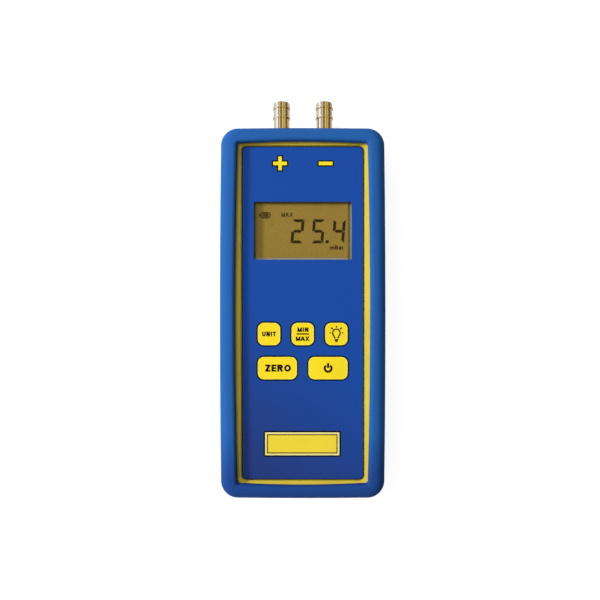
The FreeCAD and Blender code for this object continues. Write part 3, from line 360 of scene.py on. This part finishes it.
def letters(stem):
    """Plain block letters one unit high: each one's width and the outlines of its strokes."""
    level, slant = 0.88 * stem, 1.15 * stem
    half = stem / 2

    def bowl(x, y, across, rise, start, end):
        return stroke(arc(x, y, across - half, rise - half, start, end), stem)

    return {
        "I": (stem, [bar(0, 0, stem, 1)]),
        "T": (0.7, [bar(0, 1 - level, 0.7, 1), bar(0.35 - half, 0, 0.35 + half, 1)]),
        "E": (0.66, [bar(0, 0, stem, 1), bar(0, 0, 0.66, level),
                     bar(0, 0.5 - level / 2, 0.62, 0.5 + level / 2), bar(0, 1 - level, 0.66, 1)]),
        "Z": (0.72, [bar(0, 0, 0.72, level), bar(0, 1 - level, 0.72, 1),
                     slope(0.62 * slant, level / 2, 0.72 - 0.62 * slant, 1 - level / 2, 1.1 * slant)]),
        "N": (0.76, [bar(0, 0, stem, 1), bar(0.76 - stem, 0, 0.76, 1),
                     slope(0.76 - slant / 2, 0, slant / 2, 1, slant)]),
        "M": (0.94, [bar(0, 0, stem, 1), bar(0.94 - stem, 0, 0.94, 1), slope(0.47, 0, half, 1, stem),
                     slope(0.47, 0, 0.94 - half, 1, stem)]),
        "A": (0.96, [slope(half, 0, 0.48, 1, slant), slope(0.96 - half, 0, 0.48, 1, slant),
                     bar(0.24, 0.2, 0.72, 0.2 + level)]),
        "X": (0.92, [slope(slant / 2, 0, 0.92 - slant / 2, 1, slant),
                     slope(0.92 - slant / 2, 0, slant / 2, 1, slant)]),
        "U": (0.76, [bar(0, 0.37, stem, 1), bar(0.76 - stem, 0.37, 0.76, 1),
                     bowl(0.38, 0.38, 0.38, 0.38, 180, 360)]),
        "O": (0.92, [bowl(0.46, 0.5, 0.46, 0.5, -5, 185), bowl(0.46, 0.5, 0.46, 0.5, 175, 365)]),
        "R": (0.8, [bar(0, 0, stem, 1), bar(0, 1 - stem, 0.47, 1), bar(0, 0.42, 0.47, 0.42 + stem),
                    bowl(0.46, 0.71, 0.3, 0.29, -90, 90), slope(0.8 - slant / 2, 0, 0.42, 0.46, slant)]),
        "B": (0.74, [bar(0, 0, stem, 1), bar(0, 1 - stem, 0.42, 1), bar(0, 0.5 - half, 0.42, 0.5 + half),
                     bar(0, 0, 0.42, stem), bowl(0.41, 0.75 - half / 2, 0.29, 0.25 + half / 2, -90, 90),
                     bowl(0.41, 0.25 + half / 2, 0.33, 0.25 + half / 2, -90, 90)]),
        "m": (1.06, [bar(0, 0, stem, 0.74)] + [part for left in (0, 0.53 - half) for part in (
                     bowl(left + 0.265 + half / 2, 0.47, 0.265 + half / 2, 0.27, 0, 180),
                     bar(left + 0.53 - half, 0, left + 0.53 + half, 0.48))]),
        "a": (0.62, [bowl(0.31, 0.37, 0.31, 0.37, -5, 185), bowl(0.31, 0.37, 0.31, 0.37, 175, 365),
                     bar(0.62 - stem, 0, 0.62, 0.74)]),
        "r": (0.4, [bar(0, 0, stem, 0.74), bowl(0.4, 0.38, 0.4, 0.36, 95, 175)]),
    }


def word(text, middle, size, stem, gap=0.16):
    """The outlines of a word fitted into a box."""
    block = letters(stem)
    total = sum(block[sign][0] for sign in text) + gap * (len(text) - 1)
    outlines, start = [], 0
    for sign in text:
        width, parts = block[sign]
        for part in parts:
            outlines.append([(middle[0] + ((start + x) / total - 0.5) * size[0],
                              middle[1] + (y - 0.5) * size[1]) for x, y in part])
        start += width + gap
    return outlines


def box_mm(node):
    """A node's box in millimetres: left, right, low, high, under, top."""
    low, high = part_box(node)
    return low.x / MM, high.x / MM, low.y / MM, high.y / MM, low.z / MM, high.z / MM


# Keys: dark outlines on the film, paler edges and their legends
KEY, WIDE_KEY, KEY_CORNER = 10.05, 17.5, 2.7
KEY_LINE, EDGE = 0.65, 0.3
left, right, low, high, film_top, key_top = box_mm("key_fields")
middle_x = (left + right) / 2
small_row, wide_row = high - KEY / 2, low + KEY / 2
unit_x, light_x = left + KEY / 2, right - KEY / 2
zero_x, power_x = left + WIDE_KEY / 2, right - WIDE_KEY / 2
lines, edges = [], []
for x, y, width in ((unit_x, small_row, KEY), (middle_x, small_row, KEY), (light_x, small_row, KEY),
                    (zero_x, wide_row, WIDE_KEY), (power_x, wide_row, WIDE_KEY)):
    lines += frame_line(x, y, width, KEY, KEY_CORNER, KEY_LINE)
    edges += frame_line(x, y, width - 2 * EDGE, KEY - 2 * EDGE, KEY_CORNER - EDGE, EDGE)
piece("key_outlines", lines, film_top, print_and_shadow_line)
piece("key_edges", edges, key_top, edge_print)

# Each legend's name, word, middle and size, then the width of its strokes and gaps as shares of its height
LEGENDS = [
    ("unit_legend", "UNIT", (unit_x, small_row), (6.15, 2.15), 0.28, 0.16),
    ("min_legend", "MIN", (middle_x + 0.1, small_row + 1.95), (4.95, 2.0), 0.27, 0.16),
    ("max_legend", "MAX", (middle_x - 0.05, small_row - 2.1), (6.05, 2.0), 0.25, 0.03),
    ("zero_legend", "ZERO", (zero_x + 0.35, wide_row), (11.6, 3.15), 0.27, 0.12),
]
for name, letters_in, middle, size, stem, gap in LEGENDS:
    piece(name, word(letters_in, middle, size, stem, gap), key_top, legend_print)
BAR_LENGTH, BAR_RISE, BAR_SHIFT = 5.7, 0.58, 0.05
bar_left, bar_low = middle_x + BAR_SHIFT - BAR_LENGTH / 2, small_row - BAR_RISE / 2
piece("min_max_bar", [bar(bar_left, bar_low, bar_left + BAR_LENGTH, bar_low + BAR_RISE)], key_top,
      legend_print)

# The lamp sign: a bulb with five rays and a striped cap
BULB, BULB_LINE, BULB_RISE = 1.68, 0.58, 0.5
NECK, NECK_DROP, SHOULDER = 0.6, 2.5, 38
# The cap's stripes: how far below the bulb's middle, and half of their length
STRIPES, STRIPE_LINE = [(2.95, 0.85), (3.45, 0.8), (4.0, 0.45)], 0.44
# The rays: angle, near end, far end and width
RAYS = [(0, 2.4, 3.2, 0.42), (45, 2.3, 3.4, 0.62), (90, 2.35, 3.1, 0.55), (135, 2.3, 3.4, 0.62),
        (180, 2.4, 3.2, 0.42)]
bulb_y = small_row + BULB_RISE
neck_y = bulb_y - NECK_DROP
bulb = arc(light_x, bulb_y, BULB, BULB, -SHOULDER, 180 + SHOULDER, steps=32)
signs = [stroke([(light_x + NECK, neck_y)] + bulb + [(light_x - NECK, neck_y)], BULB_LINE)]
for drop, half in STRIPES:
    low = bulb_y - drop - STRIPE_LINE / 2
    signs.append(bar(light_x - half, low, light_x + half, low + STRIPE_LINE))
for angle, near, far, thick in RAYS:
    way = math.cos(math.radians(angle)), math.sin(math.radians(angle))
    signs.append(stroke([(light_x + way[0] * near, bulb_y + way[1] * near),
                         (light_x + way[0] * far, bulb_y + way[1] * far)], thick))
piece("lamp_sign", signs, key_top, legend_print)

# The power sign
RING, RING_LINE, RING_GAP = 1.52, 0.98, 37
PIN_LOW, PIN_HIGH = 0.15, 2.35
ring_y = wide_row - 0.1
signs = [stroke(arc(power_x, ring_y, RING, RING, 90 + RING_GAP, 450 - RING_GAP, steps=36), RING_LINE),
         bar(power_x - RING_LINE / 2, ring_y + PIN_LOW, power_x + RING_LINE / 2, ring_y + PIN_HIGH)]
piece("power_sign", signs, key_top, legend_print)

# Outlines of the + and - marks
SIGN, SIGN_STROKE, SIGN_LINE = 6.2, 1.6, 0.6
SHARP = 0.02
left, right, low, high, film_top, _ = box_mm("port_marks")
plus_x, minus_x, sign_y = left + SIGN / 2, right - SIGN / 2, (low + high) / 2


def turned(points, x, y):
    """Points given from a middle, at each quarter turn about it."""
    sets = []
    for _ in range(4):
        sets.append([(x + across, y + along) for across, along in points])
        points = [(-along, across) for across, along in points]
    return sets


reach, half = SIGN / 2, SIGN_STROKE / 2
wide = half + SIGN_LINE
arm = [(half, half), (wide, wide), (reach + SIGN_LINE, wide), (reach + SIGN_LINE, -wide), (wide, -wide),
       (half, -half), (reach, -half), (reach, half)]
marks = turned(arm, plus_x, sign_y) + frame_line(minus_x, sign_y, SIGN, SIGN_STROKE, SHARP, SIGN_LINE)
piece("mark_outlines", marks, film_top, print_and_shadow_line)

# The blank field: its pale border, the brown line inside it and the dark line round it
BORDER, BORDER_LINE, FIELD_LINE = 0.8, 0.5, 0.7
left, right, low, high, film_top, field_top = box_mm("name_field")
middle = (left + right) / 2, (low + high) / 2


def field_ring(name, inset, line, base, shader):
    """A line round the field, whose inner side is so far inside the field's edge."""
    across, rise = right - left - 2 * inset, high - low - 2 * inset
    piece(name, frame_line(*middle, across, rise, SHARP, line), base, shader)


field_ring("field_outline", 0, FIELD_LINE, film_top, print_and_shadow_line)
field_ring("field_border", BORDER, BORDER, field_top, pale_print)
field_ring("field_line", BORDER + BORDER_LINE, BORDER_LINE, film_top, brown_print)

# Painted shadow: a dark line along the film's edge stands for the shade in the gap between the film and the
# case rim
GAP_SHADOW_LINE, FILM_CORNER, EDGE_MARGIN = 0.4, 2.0, 0.02
left, right, low, high, _, film_top = box_mm("graphic_overlay")
middle = (left + right) / 2, (low + high) / 2
inset = GAP_SHADOW_LINE + EDGE_MARGIN
edge = frame_line(*middle, right - left - 2 * inset, high - low - 2 * inset, FILM_CORNER, GAP_SHADOW_LINE)
piece("film_gap_shadow", edge, film_top, print_and_shadow_line)

# Small words and the battery sign on the display
_, _, _, _, _, ink_top = box_mm("front_polariser")
left, right, low, high, _, _ = box_mm("display_window")
window_x, window_y = (left + right) / 2, (low + high) / 2
DISPLAY_WORDS = [
    ("max_word", "MAX", (window_x - 7.1, window_y + 7.6), (5.1, 1.95), 0.2, 0.16),
    ("unit_word", "mBar", (window_x + 15.45, window_y - 7.35), (5.95, 1.9), 0.24, 0.13),
]
for name, letters_in, middle, size, stem, gap in DISPLAY_WORDS:
    piece(name, word(letters_in, middle, size, stem, gap), ink_top, display_ink)

CELL_ACROSS, CELL_RISE, CELL_CORNER, CELL_LINE = 4.8, 2.9, 0.9, 0.42
CELL_BAR, CELL_BAR_RISE, CELL_PITCH = 0.58, 1.8, 0.74
TIP_REACH, TIP_OVERLAP, TIP_RISE = 0.45, 0.1, 1.1
cell_x, cell_y = window_x - 16.95, window_y + 7.35
tip_x = cell_x - CELL_ACROSS / 2
inside = CELL_ACROSS - 2 * CELL_LINE, CELL_RISE - 2 * CELL_LINE
signs = frame_line(cell_x, cell_y, *inside, CELL_CORNER, CELL_LINE)
for number in (-1.5, -0.5, 0.5, 1.5):
    bar_x = cell_x + CELL_PITCH * number
    signs.append(bar(bar_x - CELL_BAR / 2, cell_y - CELL_BAR_RISE / 2, bar_x + CELL_BAR / 2,
                     cell_y + CELL_BAR_RISE / 2))
signs.append(bar(tip_x - TIP_REACH, cell_y - TIP_RISE / 2, tip_x + TIP_OVERLAP, cell_y + TIP_RISE / 2))
piece("battery_sign", signs, ink_top, display_ink)

# The dark seal beside the display's film
_, film_right, _, _, _, _ = box_mm("front_polariser")
_, _, low, high, _, glass_top = box_mm("lcd_glass")
SEAL_GAP, SEAL_REACH, SEAL_END = 0.05, 1.2, 1
piece("display_seal", [bar(film_right + SEAL_GAP, low + SEAL_END, film_right + SEAL_REACH, high - SEAL_END)],
      glass_top, edge_seal)


# Floor, world, lights and camera
WHITE = (1.0, 1.0, 1.0, 1.0)
FLOOR_GLOW = 0.9


# The surroundings that polished metal shows, by the angle from straight up in degrees: minus is to
# the left. A white screen stands on the left, and warmer and darker things on the right.
SURROUNDINGS = [
    (-180, (0.8, 0.9, 1.2)), (-92, (0.8, 1.04, 2.2)), (-86, (1.3, 1.7, 3.4)), (-60, (1.3, 1.7, 3.4)),
    (-53, (0.42, 0.48, 0.85)), (-44, (0.5, 0.56, 0.95)), (-32, (0.85, 0.92, 1.4)), (-20, (0.7, 0.7, 0.85)),
    (-12, (0.2, 0.15, 0.05)), (-2, (0.16, 0.12, 0.04)), (6, (0.55, 0.5, 0.3)), (16, (1.0, 0.98, 0.75)),
    (26, (0.95, 0.9, 0.68)), (33, (0.2, 0.14, 0.04)), (38, (0.25, 0.18, 0.07)), (46, (0.95, 0.88, 0.7)),
    (56, (0.8, 0.72, 0.6)), (64, (0.14, 0.1, 0.04)), (84, (0.18, 0.15, 0.1)), (94, (0.4, 0.4, 0.5)),
    (110, (0.55, 0.6, 1.0)), (180, (0.8, 0.9, 1.2)),
]
# The same for the floor, by the distance from the meter's middle in metres: minus is to the left
FLOOR_REFLECTED = [
    (-0.3, (0.6, 0.8, 1.7)), (-0.07, (0.48, 0.66, 1.3)), (-0.006, (0.45, 0.6, 1.1)), (0.002, (0.5, 0.5, 0.9)),
    (0.03, (0.45, 0.45, 0.75)), (0.07, (0.3, 0.32, 0.55)), (0.15, (0.1, 0.12, 0.25)),
    (0.3, (0.03, 0.03, 0.05)),
]
BRIGHTEST = 3.5
# What lights the meter softly from all round, also by the angle from straight up
AMBIENT = [(-180, 0.08), (-90, 0.45), (-30, 0.34), (30, 0.1), (90, 0.02), (180, 0.02)]


def maximum(tree, first, second):
    larger = tree.nodes.new("ShaderNodeMath")
    larger.operation = "MAXIMUM"
    tree.links.new(first, larger.inputs[0])
    tree.links.new(second, larger.inputs[1])
    return larger.outputs[0]


def ramp(tree, value, stops, reach):
    """Colours by a value from minus to plus a reach, each divided by the brightest level."""
    share = tree.nodes.new("ShaderNodeMapRange")
    share.inputs["From Min"].default_value = -reach
    share.inputs["From Max"].default_value = reach
    tree.links.new(value, share.inputs["Value"])
    colours = tree.nodes.new("ShaderNodeValToRGB")
    elements = colours.color_ramp.elements
    while len(elements) < len(stops):
        elements.new(0.5)
    for element, (place, colour) in zip(elements, stops):
        element.position = (place / reach + 1) / 2
        element.color = [level / BRIGHTEST for level in colour] + [1]
    tree.links.new(share.outputs["Result"], colours.inputs["Fac"])
    return colours.outputs["Color"]


def make_floor():
    mesh = bpy.data.meshes.new("floor")
    reach = 6.0
    corners = [(-reach, -reach, 0), (reach, -reach, 0), (reach, reach, 0), (-reach, reach, 0)]
    mesh.from_pydata(corners, [], [(0, 1, 2, 3)])
    floor = bpy.data.objects.new("floor", mesh)
    bpy.context.scene.collection.objects.link(floor)
    material = bpy.data.materials.new("floor")
    material.use_nodes = True
    tree = material.node_tree
    tree.nodes.clear()
    output = tree.nodes.new("ShaderNodeOutputMaterial")
    total = tree.nodes.new("ShaderNodeAddShader")
    matt = tree.nodes.new("ShaderNodeBsdfDiffuse")
    matt.inputs["Color"].default_value = (0.25, 0.25, 0.25, 1)
    glow = tree.nodes.new("ShaderNodeEmission")
    path = tree.nodes.new("ShaderNodeLightPath")
    direct = maximum(tree, path.outputs["Is Camera Ray"], path.outputs["Is Transmission Ray"])
    tree.links.new(maximum(tree, direct, path.outputs["Is Glossy Ray"]), glow.inputs["Strength"])
    place = tree.nodes.new("ShaderNodeSeparateXYZ")
    tree.links.new(tree.nodes.new("ShaderNodeTexCoord").outputs["Object"], place.inputs[0])
    mirrored = ramp(tree, place.outputs["X"], FLOOR_REFLECTED, 0.3)
    bright = tree.nodes.new("ShaderNodeVectorMath")
    bright.operation = "SCALE"
    bright.inputs["Scale"].default_value = BRIGHTEST
    tree.links.new(mirrored, bright.inputs[0])
    colour = tree.nodes.new("ShaderNodeMix")
    colour.data_type = "RGBA"
    tree.links.new(direct, colour.inputs["Factor"])
    tree.links.new(bright.outputs[0], colour.inputs["A"])
    colour.inputs["B"].default_value = (FLOOR_GLOW, FLOOR_GLOW, FLOOR_GLOW, 1)
    tree.links.new(colour.outputs["Result"], glow.inputs["Color"])
    tree.links.new(matt.outputs[0], total.inputs[0])
    tree.links.new(glow.outputs[0], total.inputs[1])
    tree.links.new(total.outputs[0], output.inputs["Surface"])
    mesh.materials.append(material)
    floor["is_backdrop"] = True


def make_world():
    world = bpy.data.worlds.new("studio")
    bpy.context.scene.world = world
    world.use_nodes = True
    tree = world.node_tree
    tree.nodes.clear()
    output = tree.nodes.new("ShaderNodeOutputWorld")
    path = tree.nodes.new("ShaderNodeLightPath")
    way = tree.nodes.new("ShaderNodeSeparateXYZ")
    tree.links.new(tree.nodes.new("ShaderNodeTexCoord").outputs["Generated"], way.inputs[0])
    angle = tree.nodes.new("ShaderNodeMath")
    angle.operation = "ARCTAN2"
    tree.links.new(way.outputs["X"], angle.inputs[0])
    tree.links.new(way.outputs["Z"], angle.inputs[1])
    degrees = tree.nodes.new("ShaderNodeMath")
    degrees.operation = "DEGREES"
    tree.links.new(angle.outputs[0], degrees.inputs[0])
    ambient = tree.nodes.new("ShaderNodeBackground")
    ambient.inputs["Strength"].default_value = BRIGHTEST
    soft = [(angle, (level, level, level)) for angle, level in AMBIENT]
    tree.links.new(ramp(tree, degrees.outputs[0], soft, 180), ambient.inputs["Color"])
    mirrored = tree.nodes.new("ShaderNodeBackground")
    mirrored.inputs["Strength"].default_value = BRIGHTEST
    tree.links.new(ramp(tree, degrees.outputs[0], SURROUNDINGS, 180), mirrored.inputs["Color"])
    backdrop = tree.nodes.new("ShaderNodeBackground")
    backdrop.inputs["Color"].default_value = WHITE
    glossy = tree.nodes.new("ShaderNodeMixShader")
    tree.links.new(path.outputs["Is Glossy Ray"], glossy.inputs["Fac"])
    tree.links.new(ambient.outputs[0], glossy.inputs[1])
    tree.links.new(mirrored.outputs[0], glossy.inputs[2])
    camera = tree.nodes.new("ShaderNodeMixShader")
    tree.links.new(maximum(tree, path.outputs["Is Camera Ray"], path.outputs["Is Transmission Ray"]),
                   camera.inputs["Fac"])
    tree.links.new(glossy.outputs[0], camera.inputs[1])
    tree.links.new(backdrop.outputs[0], camera.inputs[2])
    tree.links.new(camera.outputs[0], output.inputs["Surface"])


def make_light(name, way, distance, size, level, aim=(0, 0, 0.03)):
    """A square lamp in a direction from the meter, as bright as adds that level to a white flat front. It
    stays out of reflections, which show the surroundings alone."""
    way = Vector(way).normalized()
    data = bpy.data.lights.new(name, "AREA")
    data.size = size
    data.energy = level * math.pi ** 2 * distance ** 2 / way.z
    lamp = bpy.data.objects.new(name, data)
    lamp.location = Vector(aim) + way * distance
    lamp.rotation_mode = "QUATERNION"
    lamp.rotation_quaternion = way.to_track_quat("Z", "Y")
    lamp.visible_camera = False
    lamp.visible_glossy = False
    bpy.context.scene.collection.objects.link(lamp)
    return lamp


def make_camera():
    """A camera 250 mm over the film that sees 270 mm across at the film's level."""
    data = bpy.data.cameras.new("camera")
    data.sensor_width = 36
    data.lens = data.sensor_width * 250 / 270
    data.shift_x = -0.0136
    data.clip_start = 0.01
    camera = bpy.data.objects.new("camera", data)
    camera.location = (2.46 * MM, -2.15 * MM, (film_top + 250) * MM)
    bpy.context.scene.collection.objects.link(camera)
    bpy.context.scene.camera = camera


make_floor()
make_world()
make_light("key", (-0.82, 0.2, 0.53), 1.2, 0.2, 0.4)
make_light("fill", (-0.28, 0.25, 0.93), 1.0, 0.55, 0.44)
make_camera()
bpy.context.scene.view_settings.view_transform = "Standard"

for low, high in (cad_box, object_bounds()):
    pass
